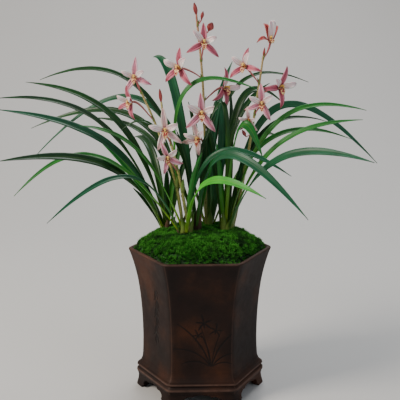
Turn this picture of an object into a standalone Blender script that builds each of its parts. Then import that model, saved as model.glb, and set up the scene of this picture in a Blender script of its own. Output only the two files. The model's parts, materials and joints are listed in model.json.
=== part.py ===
# Potted orchid: a clump of strap leaves with four flower scapes, growing through a
# moss dome in a six-sided stoneware pot on bracket feet.
# Lengths are metres.  The origin is under the middle of the plant on the standing
# plane, +Z is up and the front of the pot, one flat face, looks along -Y.
import math
import bpy
import bmesh
from mathutils import Vector

mm = 0.001
gap = 0.45 * mm                 # clearance between bodies that touch in life

# ---- driving dimensions -----------------------------------------------------
rimRadius = 105 * mm            # across one rim corner, from the middle
floorUnder, floorTop = 22 * mm, 30 * mm
drainRadius = 14 * mm
cornerPower = 40                # how tight the rounded corners of the hexagon are
roundShare = 0.93               # radius of the round ring that stands for a hexagon of corner radius 1
cornerAngles = (0, 3, 8, 30, 52, 57)

# corner radius and height of the outer wall, foot to rim, in mm
outerWall = ((96.2, 0), (95.2, 4), (93.4, 11), (93.4, 19), (94.6, 20.6), (95.8, 23), (95.6, 26),
             (94.0, 28.2), (92.6, 29.2), (93.6, 30.2), (95.2, 32), (94.6, 34.6), (92.0, 36),
             (89.2, 39), (87.2, 44), (86.2, 54), (85.6, 74), (85.8, 95), (86.8, 118),
             (88.9, 142), (92.2, 165), (96.0, 182), (100.6, 198), (104.0, 207.5), (105.0, 209.6),
             (104.4, 211.4), (102.6, 212))
# and of the inner wall, rim to floor
innerWall = ((100.2, 212), (98.6, 211), (97.4, 208.4), (92.6, 196), (87.6, 180), (83.4, 162),
             (80.4, 140), (78.6, 116), (77.8, 90), (77.8, 60), (77.0, 38), (74.0, 31.5), (70.0, 30))
# under the floor: a hollow inside the skirt, then the flat foot
hollowWall = ((70.0, 22), (80.0, 21.5), (83.4, 17), (84.2, 8), (85.4, 0))

mossRim, mossRise, mossPower = 206 * mm, 29.5 * mm, 3.5
mossDepth = 12 * mm

# growing points: x, y, height of the shoot top, shoot radius
shoots = {
    "a": (-47, 32, 231, 11.5),
    "b": (-21, -8, 235.5, 12.0),
    "c": (-4, 9, 236, 8.0),
    "d": (14, 37, 234.5, 11.5),
    "e": (38, 18, 233, 12.5),
}
rhizomeRuns = ("ab", "bc", "cd", "de")

# ---- leaves -----------------------------------------------------------------
# name, shoot, distance of the seat from the shoot's middle, shoulder that the blade climbs
# towards, tip it falls to (both x, y, height), width, twist
leafPlan = (
    ("leaf_a1", "a", 3, (-95, 45, 430), (-250, 55, 445), 10, -45),
    ("leaf_a2", "a", 4.5, (-122, -5, 440), (-268, -75, 435), 9, -45),
    ("leaf_a3", "a", 7.5, (-100, -9, 392), (-268, -70, 420), 12, -50),
    ("leaf_a4", "a", 7, (-90, 40, 320), (-155, 50, 370), 12, -55),
    ("leaf_a5", "a", 9.5, (-108, -25, 370), (-256, -150, 365), 12, -55),
    ("leaf_a6", "a", 10, (-72, 30, 265), (-97, 27, 294), 9, -30),
    ("leaf_b1", "b", 8, (-42, 35, 390), (-160, 80, 390), 8, -35),
    ("leaf_b2", "b", 5, (-52, 5, 430), (-112, 10, 380), 6, -30),
    ("leaf_b3", "b", 10, (-145, -40, 415), (-250, -75, 305), 8, -35),
    ("leaf_b4", "b", 11, (-85, -58, 380), (-197, -150, 286), 8, -30),
    ("leaf_b5", "b", 4, (-77, -30, 385), (-160, -82, 400), 10, -35),
    ("leaf_b6", "b", 1, (-65, 0, 498), (78, -30, 441), 9, 40),
    ("leaf_b7", "b", 4, (-2, -24, 408), (123, -52, 325), 10, 40),
    ("leaf_b8", "b", 12, (-10, -72, 358), (78, -150, 316), 11, 50),
    ("leaf_c1", "c", 3, (-34, 45, 492), (-66, 60, 480), 12, -55),
    ("leaf_c2", "c", 6.5, (-60, 68, 458), (-257, 125, 368), 10, -45),
    ("leaf_c3", "c", 5, (8, -66, 432), (132, -150, 288), 12, 50),
    ("leaf_d1", "d", 6, (-70, 52, 510), (-230, 60, 448), 9, -35),
    ("leaf_d2", "d", 9, (-60, 92, 525), (-258, 132, 318), 9, -45),
    ("leaf_d3", "d", 2, (15, 55, 400), (50, 72, 473), 10, 45),
    ("leaf_d4", "d", 6, (38, 18, 366), (31, 2, 425), 13, 0),
    ("leaf_d5", "d", 5, (47, 56, 410), (107, 84, 440), 9, 35),
    ("leaf_d6", "d", 5.5, (20, 65, 500), (167, 98, 440), 7, 30),
    ("leaf_d7", "d", 9, (91, 58, 410), (232, 76, 356), 8, 40),
    ("leaf_e1", "e", 2, (42, -14, 475), (13, -28, 398), 8, -10),
    ("leaf_e2", "e", 10, (48, 44, 376), (46, 58, 437), 10, 60),
    ("leaf_e3", "e", 5, (41, 34, 492), (130, 66, 408), 10, 45),
    ("leaf_e4", "e", 5.5, (47, -28, 460), (86, -34, 346), 13, 40),
    ("leaf_e5", "e", 5, (89, 2, 446), (230, -20, 411), 9, 40),
    ("leaf_e6", "e", 5, (89, 62, 510), (268, 60, 322), 10, 60),
    ("leaf_e7", "e", 8, (75, 48, 419), (193, 78, 383), 7, 35),
    ("leaf_e8", "e", 8, (86, -14, 392), (219, -50, 402), 9, 45),
    ("leaf_e9", "e", 10.5, (84, -70, 394), (213, -150, 361), 12, 50),
    ("leaf_back1", "a", 8, (-65, 75, 370), (-100, 150, 350), 11, -30),
    ("leaf_back2", "d", 9, (20, 85, 365), (30, 150, 335), 12, 30),
    ("leaf_back3", "e", 11.5, (75, 80, 385), (130, 150, 350), 10, 30),
)

# ---- scapes: points up each stalk in mm -------------------------------------
scapePlan = {
    "scape_centre": ((10, 30, 235.2), (8, 20, 350), (4, 9, 450), (-5, 3, 541)),
    "scape_right": ((49, 21.5, 233.8), (66, 19, 320), (82, 9, 435), (88, 4, 484)),
    "scape_left": ((-23, -17.5, 236.2), (-35, -13, 310), (-62, -3, 390), (-84, 2, 440)),
    "scape_inner": ((-15.5, -16.5, 236.2), (-30, -19, 320), (-52, -14, 410), (-54, -13, 423)),
}
# the bud each stalk ends in: place of its tip, radius
topBuds = {
    "scape_centre": ((-8, 2, 556.5), 3.0),
    "scape_right": ((90, 5, 496), 1.7),
    "scape_left": ((-88, 4, 450), 1.8),
    "scape_inner": ((-56, -13, 441), 2.5),
}
# side buds: stalk, height they leave it, place of the bud tip, length, radius
budPlan = (
    ("scape_centre", 526, (4, -4, 545), 11, 2.4),
    ("scape_centre", 510, (17, 7, 530), 12, 5.0),
    ("scape_right", 372, (60, 4, 381), 11, 2.6),
)

# ---- flowers ----------------------------------------------------------------
# name, scape, height the stalk leaves it, middle of the flower, compass bearing it
# looks along (front is -90), upward tilt, size, opening, then the clock angles of the
# dorsal sepal, left petal, right petal, left sepal and right sepal seen face on
flowerPlan = (
    ("flower_01", "scape_left", 434, (-90, -13, 457), -96, 5, 0.92, 1.0, (86, 155, 30, 238, 337)),
    ("flower_02", "scape_left", 396, (-95, -22, 424), -128, -5, 0.86, 0.9, (92, 140, 40, 205, 282)),
    ("flower_03", "scape_inner", 364, (-49, -34, 387), -88, 0, 1.08, 1.0, (95, 162, 28, 250, 322)),
    ("flower_04", "scape_inner", 326, (-46, -37, 350), -84, -8, 0.88, 0.95, (112, 167, 51, 257, 336)),
    ("flower_05", "scape_centre", 452, (-28, -8, 469), -118, 4, 1.04, 0.95, (83, 149, 40, 225, 309)),
    ("flower_06", "scape_centre", 478, (5, -12, 503), -88, 10, 1.0, 1.0, (92, 135, 20, 209, 316)),
    ("flower_07", "scape_centre", 386, (2, -9, 407), -90, 0, 1.12, 1.0, (94, 148, 25, 224, 306)),
    ("flower_08", "scape_centre", 352, (-2, -4, 371), -112, -6, 0.98, 1.0, (100, 155, 50, 197, 268)),
    ("flower_09", "scape_centre", 421, (34, 12, 440), -48, -4, 1.0, 0.95, (98, 130, 6, 215, 270)),
    ("flower_10", "scape_right", 446, (61, -12, 471), -112, 12, 0.96, 0.85, (78, 144, 60, 221, 346)),
    ("flower_11", "scape_right", 481, (97, -2, 503), -80, 48, 0.92, 0.55, (96, 150, 60, 200, 330)),
    ("flower_12", "scape_right", 426, (111, -2, 442), -66, 0, 1.0, 0.95, (79, 140, 16, 182, 270)),
    ("flower_13", "scape_right", 402, (86, -10, 420), -98, 2, 1.0, 1.0, (94, 150, 40, 200, 297)),
    ("flower_14", "scape_right", 388, (68, -8, 398), -100, -10, 0.7, 0.7, (95, 150, 35, 225, 310)),
)
sepalLength, sepalWidth = 29, 7.2
petalLength, petalWidth = 22, 8.4
lipLength, lipWidth = 13, 7.5

# ---- colours (linear) ---------------------------------------------------------
clay = (0.045, 0.024, 0.020)
shard = (0.32, 0.12, 0.06)
mixBrown = (0.06, 0.035, 0.02)
mossGreen = (0.035, 0.12, 0.012)
bulbGreen = (0.20, 0.22, 0.06)
leafGreens = {"a": (0.02, 0.10, 0.045), "b": (0.06, 0.20, 0.03), "c": (0.02, 0.11, 0.07),
              "d": (0.015, 0.08, 0.04), "e": (0.04, 0.16, 0.04)}
stalkOlive = (0.30, 0.24, 0.07)
flowerPink = (0.62, 0.22, 0.22)


def clearScene():
    for obj in list(bpy.data.objects):
        bpy.data.objects.remove(obj)


def finish(name, bm, colour, roughness):
    """Turn a bmesh into a named object with its own material."""
    bmesh.ops.recalc_face_normals(bm, faces=bm.faces)
    mesh = bpy.data.meshes.new(name)
    bm.to_mesh(mesh)
    bm.free()
    obj = bpy.data.objects.new(name, mesh)
    bpy.context.scene.collection.objects.link(obj)
    if colour is not None:
        material = bpy.data.materials.new(name + "_material")
        material.use_nodes = True
        shader = material.node_tree.nodes["Principled BSDF"]
        shader.inputs["Base Color"].default_value = (*colour, 1)
        shader.inputs["Roughness"].default_value = roughness
        mesh.materials.append(material)
    return obj


def cutWith(obj, cutter, operation="DIFFERENCE"):
    modifier = obj.modifiers.new(cutter.name, "BOOLEAN")
    modifier.solver = "EXACT"
    modifier.operation = operation
    modifier.object = cutter
    cutter.hide_render = True
    cutter.display_type = "WIRE"


# ---- rings and lofts ------------------------------------------------------------
def hexRadius(corner, angle):
    """Distance to a hexagon with rounded corners on +X and every sixty degrees."""
    flat = corner * math.cos(math.radians(30))
    total = 0.0
    for side in range(6):
        c = math.cos(angle - math.radians(30 + 60 * side))
        if c > 0:
            total += (c / flat) ** cornerPower
    return total ** (-1 / cornerPower)


def ringAngles():
    return [math.radians(60 * side + a) for side in range(6) for a in cornerAngles]


def hexRing(corner, z, roundness=0.0):
    """Ring of points; roundness 1 is a circle, 0 the rounded hexagon."""
    points = []
    for a in ringAngles():
        r = hexRadius(corner, a) * (1 - roundness) + corner * roundShare * roundness
        points.append(Vector((r * math.cos(a), r * math.sin(a), z)))
    return points


def loft(bm, rings, closeStart=True, closeEnd=True, joinEnds=False):
    """Skin a list of equal rings; a ring of one point makes a fan."""
    made = [[bm.verts.new(p) for p in ring] for ring in rings]
    pairs = list(zip(made, made[1:]))
    if joinEnds:
        pairs.append((made[-1], made[0]))
    for lower, upper in pairs:
        count = max(len(lower), len(upper))
        for i in range(count):
            j = (i + 1) % count
            if len(lower) == 1:
                bm.faces.new((lower[0], upper[j], upper[i]))
            elif len(upper) == 1:
                bm.faces.new((lower[i], lower[j], upper[0]))
            else:
                bm.faces.new((lower[i], lower[j], upper[j], upper[i]))
    if not joinEnds:
        if closeStart and len(made[0]) > 1:
            bm.faces.new(list(reversed(made[0])))
        if closeEnd and len(made[-1]) > 1:
            bm.faces.new(made[-1])
    return made


# ---- pot ------------------------------------------------------------------------
# half of one foot arch: distance from the middle of the face, height
archHalf = ((31, -4), (31, 0), (29, 3.2), (25.5, 5.0), (27.0, 8.0), (24, 11.8), (17, 14.2),
            (13.5, 13.6), (11, 15.4), (0, 17.0))


def archCutter(name, turn):
    """One bar with the outline of the foot arch, right through the skirt."""
    outline = [(-u, z) for u, z in archHalf] + [(u, z) for u, z in reversed(archHalf[:-1])]
    across = Vector((math.cos(turn), math.sin(turn), 0))
    through = Vector((-math.sin(turn), math.cos(turn), 0))
    bm = bmesh.new()
    rings = [[across * u * mm + through * reach * mm + Vector((0, 0, z * mm)) for u, z in outline]
             for reach in (-130, 130)]
    loft(bm, rings)
    return finish(name, bm, None, 0)


def makePot():
    bm = bmesh.new()
    scale = rimRadius / (105 * mm)
    rings = [hexRing(r * mm * scale, z * mm) for r, z in outerWall + innerWall]
    hole = drainRadius / roundShare
    rings += [hexRing(hole, floorTop, 1.0), hexRing(hole, floorUnder, 1.0)]
    rings += [hexRing(r * mm * scale, z * mm) for r, z in hollowWall]
    loft(bm, rings, joinEnds=True)
    pot = finish("pot", bm, clay, 0.62)
    for side in range(3):
        cutWith(pot, archCutter(f"arch_cutter_{side}", math.radians(60 * side)))
    return pot


# ---- moss, potting mix and crock ----------------------------------------------------
def domeHeight(fraction):
    return mossRim + mossRise * (1 - fraction ** mossPower)


def mossLump(angle, fraction):
    """Gentle unevenness of the moss, none at the wall."""
    swell = math.sin(3 * angle + 1.1) * math.sin(7 * fraction + 0.6)
    swell += 0.6 * math.sin(5 * angle - 0.7) * math.sin(11 * fraction)
    return 1.1 * mm * swell * (1 - fraction ** 4)


def domeRings(corner, drop, fractions, lumps):
    rings = []
    for f in fractions:
        ring = hexRing(corner * f, domeHeight(f) - drop, max(0.0, 1 - f * f))
        for p in ring:
            p.z += mossLump(math.atan2(p.y, p.x), f) if lumps else 0.0
        rings.append(ring)
    return rings


def innerCorner(z):
    """Corner radius of the inside of the pot at a height."""
    for (r0, z0), (r1, z1) in zip(innerWall, innerWall[1:]):
        if z1 * mm <= z <= z0 * mm:
            return (r1 + (r0 - r1) * (z - z1 * mm) / ((z0 - z1) * mm)) * mm
    return innerWall[-1][0] * mm


def makeMoss():
    edge = innerCorner(mossRim) - 2 * gap
    low = mossRim - mossDepth
    lowEdge = innerCorner(low) - 2 * gap
    top = domeRings(edge, 0, (0.12, 0.3, 0.48, 0.64, 0.78, 0.89, 0.965, 1.0), True)
    under = domeRings(lowEdge, mossDepth, (1.0, 0.85, 0.6, 0.3, 0.12), False)
    bm = bmesh.new()
    loft(bm, top + under)
    return finish("moss", bm, mossGreen, 0.95)


def makeMix():
    below = mossDepth + 2.5 * gap
    top = mossRim - below
    levels = [180 * mm, 162 * mm, 140 * mm, 116 * mm, 90 * mm, 60 * mm, 38 * mm]
    rings = domeRings(innerCorner(top) - 2 * gap, below, (0.12, 0.3, 0.6, 0.85, 1.0), False)
    rings += [hexRing(innerCorner(z) - 2 * gap, z) for z in levels]
    rings += [hexRing(69 * mm, floorTop + 2 * gap), hexRing(28 * mm, floorTop + 2 * gap, 1.0),
              hexRing(27 * mm, floorTop + 7.5 * mm, 1.0), hexRing(10 * mm, floorTop + 8.5 * mm, 1.0)]
    bm = bmesh.new()
    loft(bm, rings)
    return finish("potting_mix", bm, mixBrown, 0.95)


def makeCrock():
    """Curved shard that keeps the mix in over the drain hole."""
    bm = bmesh.new()
    profile = ((6, 5.0), (15, 4.2), (23, 2.2), (25, 0), (20, 0), (14, 1.0), (6, 1.8))
    rings = [hexRing(r * mm, floorTop + gap + h * mm, 1.0) for r, h in profile]
    loft(bm, rings)
    return finish("drain_crock", bm, shard, 0.8)


# ---- rhizome and shoots ---------------------------------------------------------------
def circleRing(centre, radius, z, sides=12):
    return [Vector((centre[0] + radius * math.cos(math.tau * i / sides),
                    centre[1] + radius * math.sin(math.tau * i / sides), z)) for i in range(sides)]


def shootBody(name, key, extra):
    """Pseudobulb under the moss drawn up into the shoot that carries the leaves."""
    x, y, z, radius = shoots[key]
    centre = (x * mm, y * mm)
    r = radius * mm
    levels = ((0.35, -46), (0.85, -40), (1.12, -30), (1.0, -18), (0.92, -8), (0.96, 0))
    rings = [circleRing(centre, r * k + extra, (z + h) * mm) for k, h in levels]
    for p in rings[0]:
        p.z -= extra
    if extra:
        rings.append(circleRing(centre, r + extra, (z + 14) * mm))
    bm = bmesh.new()
    loft(bm, rings)
    return finish(name, bm, bulbGreen if name == "rhizome" else None, 0.6)


def runBody(name, first, second, extra):
    """Stretch of rhizome between two shoots."""
    a, b = shoots[first], shoots[second]
    low = Vector((a[0], a[1], a[2] - 33)) * mm
    high = Vector((b[0], b[1], b[2] - 33)) * mm
    along = (high - low).normalized()
    side = Vector((0, 0, 1)).cross(along).normalized()
    up = along.cross(side)
    r = 4.2 * mm + extra
    bm = bmesh.new()
    loft(bm, [[end + (side * math.cos(math.tau * i / 8) + up * math.sin(math.tau * i / 8)) * r
               for i in range(8)] for end in (low, high)])
    return finish(name, bm, None, 0)


def makeRhizome():
    """The five shoots and the runs between them, joined into one body."""
    rhizome = shootBody("rhizome", "a", 0)
    for key in "bcde":
        cutWith(rhizome, shootBody(f"shoot_part_{key}", key, 0), "UNION")
    for run in rhizomeRuns:
        cutWith(rhizome, runBody(f"run_part_{run}", run[0], run[1], 0), "UNION")


def clearRhizome(*bodies):
    """Pockets for the rhizome in the moss and the mix."""
    cutters = [shootBody(f"shoot_cutter_{key}", key, gap) for key in shoots]
    cutters += [runBody(f"run_cutter_{run}", run[0], run[1], gap) for run in rhizomeRuns]
    for body in bodies:
        for cutter in cutters:
            cutWith(body, cutter)


# ---- leaves ---------------------------------------------------------------------------
leafSteps = 12
shoulderPull = 0.75         # how far the blade is drawn into its shoulder


def leafPath(shoot, seatRadius, shoulder, tip, steps):
    """Midrib of an arching leaf: up towards the shoulder, then over and out to the tip."""
    x, y, z, _ = shoots[shoot]
    outward = Vector((shoulder[0] - x, shoulder[1] - y, 0)).normalized()
    seat = Vector((x, y, z + 0.5)) + outward * seatRadius
    corner, end = Vector(shoulder), Vector(tip)
    climb, fall = seat.lerp(corner, shoulderPull), end.lerp(corner, shoulderPull)
    points = []
    for i in range(steps + 1):
        t = i / steps
        p = (seat * (1 - t) ** 3 + climb * 3 * t * (1 - t) ** 2 + fall * 3 * t * t * (1 - t)
             + end * t ** 3)
        points.append(p * mm)
    return points


def leafHalfWidth(t, width):
    """Narrow at the base, widest past the middle, drawn out to a point."""
    grow = 0.46 + 0.54 * math.sin(min(1.0, t / 0.45) * math.pi / 2)
    taper = max(0.0, 1 - ((t - 0.5) / 0.5) ** 2.6) if t > 0.5 else 1.0
    return 0.5 * width * mm * grow * max(taper, 0.05)


def splitAlike(bm, made):
    """Split every blade face from edge to middle, above and below alike.

    A twisted blade is thin, and with opposite splits its two skins would meet.
    """
    for lower, upper in zip(made, made[1:]):
        for i in range(4):
            j = (i + 1) % 4
            ends = [lower[i], upper[j]] if i % 2 == 0 else [lower[j], upper[i]]
            bmesh.ops.connect_verts(bm, verts=ends)


def makeLeaf(name, shoot, seatRadius, shoulder, tip, width, twist):
    points = leafPath(shoot, seatRadius, shoulder, tip, leafSteps)
    run = points[-1] - points[0]
    level = Vector((-run.y, run.x, 0)).normalized()
    rings = []
    for i, p in enumerate(points):
        t = i / leafSteps
        before, after = points[max(i - 1, 0)], points[min(i + 1, leafSteps)]
        along = (after - before).normalized()
        side = level
        up = along.cross(side).normalized()
        side = up.cross(along).normalized()
        turn = math.radians(twist) * min(1.0, t / 0.4)
        across = side * math.cos(turn) + up * math.sin(turn)
        face = up * math.cos(turn) - side * math.sin(turn)
        half = leafHalfWidth(t, width)
        keel = half * 0.22
        thick = (1.0 - 0.55 * t) * mm
        if i == 0:
            across = Vector((across.x, across.y, 0)).normalized()
            face = Vector((face.x, face.y, 0)).normalized()
        rings.append([p + across * half + face * keel, p + face * thick * 0.5,
                      p - across * half + face * keel, p - face * thick * 0.5])
    bm = bmesh.new()
    splitAlike(bm, loft(bm, rings))
    green = leafGreens[shoot]
    return finish(name, bm, green, 0.4)


# ---- chains: four-cornered limbs grown out of one face of a body -------------------------
def growChain(bm, face, sections):
    """Replace a four-sided face by a limb through (centre, half across, half up) sections."""
    start = list(face.verts)
    bm.faces.remove(face)
    order = None
    for centre, a, b in sections:
        corners = [centre - a - b, centre + a - b, centre + a + b, centre - a + b]
        if order is None:
            middle = sum((v.co for v in start), Vector()) / 4
            best = None
            for flip in (1, -1):
                for shift in range(4):
                    trial = [corners[(shift + flip * k) % 4] for k in range(4)]
                    cost = sum(((q - centre) - (v.co - middle)).length for q, v in zip(trial, start))
                    if best is None or cost < best[0]:
                        best = (cost, flip, shift)
            order = best[1:]
        flip, shift = order
        new = [bm.verts.new(corners[(shift + flip * k) % 4]) for k in range(4)]
        for k in range(4):
            bm.faces.new((start[k], start[(k + 1) % 4], new[(k + 1) % 4], new[k]))
        start = new
    bm.faces.new(start)


# ---- flowers ---------------------------------------------------------------------------
hubRadius, hubHalf = 2.4 * mm, 1.7 * mm


def flowerAxes(bearing, tilt):
    a, t = math.radians(bearing), math.radians(tilt)
    ahead = Vector((math.cos(a) * math.cos(t), math.sin(a) * math.cos(t), math.sin(t)))
    right = ahead.cross(Vector((0, 0, 1))).normalized() * -1
    return ahead, right, right.cross(ahead) * -1


def tepal(bm, face, middle, axes, clock, length, width, reach, curl):
    """Strap-like flower leaf; reach is how far forward it comes, curl bends the tip back."""
    ahead, right, up = axes
    c = math.radians(clock)
    out = right * math.cos(c) + up * math.sin(c)
    wide = right * -math.sin(c) + up * math.cos(c)
    sections = []
    for t, w in ((0.16, 0.42), (0.36, 0.86), (0.58, 1.0), (0.8, 0.72), (0.95, 0.3), (1.0, 0.1)):
        forward = reach * math.sin(t * math.pi * 0.6) - curl * t ** 3
        centre = middle + out * (hubRadius + length * t) + ahead * forward
        sections.append((centre, wide * width * w * 0.5, ahead * (0.75 - 0.3 * t) * mm))
    growChain(bm, face, sections)


def makeFlower(name, scape, leaves, place, bearing, tilt, size, opening, clocks):
    axes = flowerAxes(bearing, tilt)
    ahead, right, up = axes
    middle = Vector(place) * mm
    bm = bmesh.new()
    rings = [[middle + (right * math.cos(math.radians(a)) + up * math.sin(math.radians(a))) * hubRadius
              + ahead * d for a in range(0, 360, 60)] for d in (-hubHalf, hubHalf)]
    made = loft(bm, rings)
    sides = {}
    for k in range(6):
        pair = {made[0][k], made[0][(k + 1) % 6], made[1][k], made[1][(k + 1) % 6]}
        sides[30 + 60 * k] = next(f for f in bm.faces if set(f.verts) == pair)
    front = next(f for f in bm.faces if set(f.verts) == set(made[1]))
    dorsal, petalA, petalB, sepalA, sepalB = clocks
    long, wide = sepalLength * mm * size, sepalWidth * mm * size
    short, broad = petalLength * mm * size, petalWidth * mm * size
    cup = (1.15 - opening) * 26 * mm * size + 2 * mm
    tepal(bm, sides[90], middle, axes, dorsal, long, wide, cup, 3 * mm)
    tepal(bm, sides[150], middle, axes, petalA, short, broad, cup + 4 * mm, 1 * mm)
    tepal(bm, sides[30], middle, axes, petalB, short, broad, cup + 4 * mm, 1 * mm)
    tepal(bm, sides[210], middle, axes, sepalA, long, wide, cup, 5 * mm)
    tepal(bm, sides[330], middle, axes, sepalB, long, wide, cup, 5 * mm)
    lipLong = lipLength * mm * size
    sections = []
    for t, w, drop in ((0.3, 0.7, 0.5), (0.6, 1.0, 1.6), (0.85, 0.95, 4.2), (1.0, 0.5, 7.0)):
        centre = middle + ahead * lipLong * t - up * (hubRadius + drop * mm * size)
        sections.append((centre, right * lipWidth * mm * size * w * 0.5,
                         (up * 0.9 + ahead * 0.4 * t).normalized() * 0.8 * mm))
    growChain(bm, sides[270], sections)
    columnTop = bmesh.ops.extrude_face_region(bm, geom=[front])
    bm.faces.remove(front)
    verts = [v for v in columnTop["geom"] if isinstance(v, bmesh.types.BMVert)]
    for v in verts:
        inward = middle + ahead * hubHalf
        v.co = inward + (v.co - inward) * 0.7 + ahead * 6.5 * mm * size + up * 1.6 * mm * size
    return finish(name, bm, flowerPink, 0.5)


# ---- scapes -------------------------------------------------------------------------------
def scapeAt(points, z):
    """Place on the stalk at a height, eased between its points."""
    for i in range(len(points) - 1):
        a, b = points[i], points[i + 1]
        if a[2] <= z <= b[2] or i == len(points) - 2:
            t = (z - a[2]) / (b[2] - a[2])
            before, after = points[max(i - 1, 0)], points[min(i + 2, len(points) - 1)]
            place = []
            for k in range(2):
                m0 = (b[k] - before[k]) / max(b[2] - before[2], 1) * (b[2] - a[2])
                m1 = (after[k] - a[k]) / max(after[2] - a[2], 1) * (b[2] - a[2])
                h = (2 * t ** 3 - 3 * t ** 2 + 1, t ** 3 - 2 * t ** 2 + t,
                     -2 * t ** 3 + 3 * t ** 2, t ** 3 - t ** 2)
                place.append(h[0] * a[k] + h[1] * m0 + h[2] * b[k] + h[3] * m1)
            return Vector((place[0], place[1], z)) * mm


def squareTo(side, direction):
    """Carry a sideways vector along a bend so the limb doesn't twist."""
    return (side - direction * side.dot(direction)).normalized()


def limbSections(start, lead, end, arrive, radii):
    """Limb along a curve leaving by lead and arriving along arrive."""
    span = (end - start).length
    side = lead.cross(Vector((0, 0, 1))).normalized()
    c1, c2 = start + lead * span * 0.4, end - arrive * span * 0.35
    sections = []
    count = len(radii)
    for i, r in enumerate(radii):
        t = (i + 1) / count
        p = (start * (1 - t) ** 3 + c1 * 3 * t * (1 - t) ** 2 + c2 * 3 * t * t * (1 - t) + end * t ** 3)
        d = (c1 - start) * 3 * (1 - t) ** 2 + (c2 - c1) * 6 * t * (1 - t) + (end - c2) * 3 * t * t
        d = d.normalized()
        side = squareTo(side, d)
        sections.append((p, side * r * 0.75, side.cross(d) * r * 0.75))
    return sections, side


def makeScape(name):
    points = scapePlan[name]
    low, high = points[0][2], points[-1][2]
    branches = []
    for flower in flowerPlan:
        if flower[1] == name:
            ahead = flowerAxes(flower[4], flower[5])[0]
            end = Vector(flower[3]) * mm - ahead * (hubHalf + gap)
            branches.append((flower[2], end, ahead, None))
    for scape, height, tip, length, radius in budPlan:
        if scape == name:
            branches.append((height, Vector(tip) * mm, None, (length, radius)))
    marks = {b[0] - 1.4 for b in branches} | {b[0] + 1.4 for b in branches}
    heights = sorted(set([low, high]) | marks
                     | {z for z in range(int(low) + 18, int(high) - 6, 22)
                        if min([abs(z - b[0]) for b in branches] + [99]) > 5})
    bm = bmesh.new()
    rings = []
    for z in heights:
        r = (2.1 - 1.1 * (z - low) / (high - low)) * mm
        centre = scapeAt(points, z)
        rings.append([centre + Vector((math.cos(math.radians(a)), math.sin(math.radians(a)), 0)) * r
                      for a in range(0, 360, 60)])
    tip, fat = Vector(topBuds[name][0]) * mm, topBuds[name][1] * mm
    for t, k in ((0.12, 0.55), (0.35, 1.0), (0.62, 0.92), (0.88, 0.45), (1.0, 0.12)):
        centre = scapeAt(points, high).lerp(tip, t)
        rings.append([centre + Vector((math.cos(math.radians(a)), math.sin(math.radians(a)), 0)) * fat * k
                      for a in range(0, 360, 60)])
    made = loft(bm, rings)
    for height, end, ahead, bud in branches:
        level = heights.index(height - 1.4)
        centre = scapeAt(points, height)
        away = end - centre
        bearing = math.degrees(math.atan2(away.y, away.x)) % 360
        side = int(bearing // 60) % 6
        pair = {made[level][side], made[level][(side + 1) % 6],
                made[level + 1][side], made[level + 1][(side + 1) % 6]}
        face = next(f for f in bm.faces if set(f.verts) == pair)
        start = face.calc_center_median()
        lead = (start - centre).normalized() + Vector((0, 0, 0.9))
        if bud is None:
            radii = [1.0 * mm, 1.0 * mm, 1.1 * mm, 1.3 * mm, 1.5 * mm]
            sections, across = limbSections(start, lead.normalized(), end, ahead, radii)
        else:
            length, radius = bud[0] * mm, bud[1] * mm
            axis = (away.normalized() + Vector((0, 0, 0.8))).normalized()
            neck = end - axis * length
            radii = [0.9 * mm, 0.9 * mm, 1.1 * mm]
            sections, across = limbSections(start, lead.normalized(), neck, axis, radii)
            across = squareTo(across, axis)
            for t, k in ((0.2, 0.7), (0.45, 1.0), (0.75, 0.8), (1.0, 0.25)):
                wide = radius * k * 0.8
                sections.append((neck + axis * length * t, across * wide, across.cross(axis) * wide))
        growChain(bm, face, sections)
    return finish(name, bm, stalkOlive, 0.5)


def makePlant():
    for plan in leafPlan:
        makeLeaf(*plan)
    for name in scapePlan:
        makeScape(name)
    for plan in flowerPlan:
        makeFlower(*plan)


clearScene()
makePot()
makeCrock()
mix = makeMix()
moss = makeMoss()
makeRhizome()
clearRhizome(mix, moss)
makePlant()
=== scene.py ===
import json
import random
import bpy
import bmesh
from math import atan, cos, exp, hypot, pi, radians, sin, sqrt, tan, tau
from mathutils import Matrix, Vector, noise

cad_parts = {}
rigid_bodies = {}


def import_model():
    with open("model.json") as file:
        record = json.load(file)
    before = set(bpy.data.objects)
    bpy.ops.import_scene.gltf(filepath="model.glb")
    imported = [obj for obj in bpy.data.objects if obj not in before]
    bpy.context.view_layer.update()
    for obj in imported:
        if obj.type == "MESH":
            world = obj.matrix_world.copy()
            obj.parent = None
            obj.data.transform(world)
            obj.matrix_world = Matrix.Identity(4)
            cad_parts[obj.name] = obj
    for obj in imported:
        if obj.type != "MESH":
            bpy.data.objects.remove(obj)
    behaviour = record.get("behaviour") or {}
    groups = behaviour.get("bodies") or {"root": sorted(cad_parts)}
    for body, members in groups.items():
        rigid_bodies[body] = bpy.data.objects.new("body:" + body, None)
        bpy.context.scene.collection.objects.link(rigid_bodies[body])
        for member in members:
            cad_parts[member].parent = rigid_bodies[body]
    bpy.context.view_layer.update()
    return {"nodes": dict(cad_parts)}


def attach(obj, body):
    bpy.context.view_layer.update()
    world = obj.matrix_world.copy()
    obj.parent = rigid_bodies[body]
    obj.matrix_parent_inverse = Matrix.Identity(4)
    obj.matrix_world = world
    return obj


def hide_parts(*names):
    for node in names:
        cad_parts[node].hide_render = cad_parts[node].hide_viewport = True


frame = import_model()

# Potted orchid: a clump of arching strap leaves in flower, mossed into a six-sided stoneware pot.
# Tables are in millimetres and degrees; mm turns them into the frame's metres.

mm = 0.001
skyward = Vector((0, 0, 1))
body = "root"


def hexColour(code):
    parts = [int(code[i:i + 2], 16) / 255 for i in (1, 3, 5)]
    linear = [c / 12.92 if c <= 0.04045 else ((c + 0.055) / 1.055) ** 2.4 for c in parts]
    return (*linear, 1)


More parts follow.
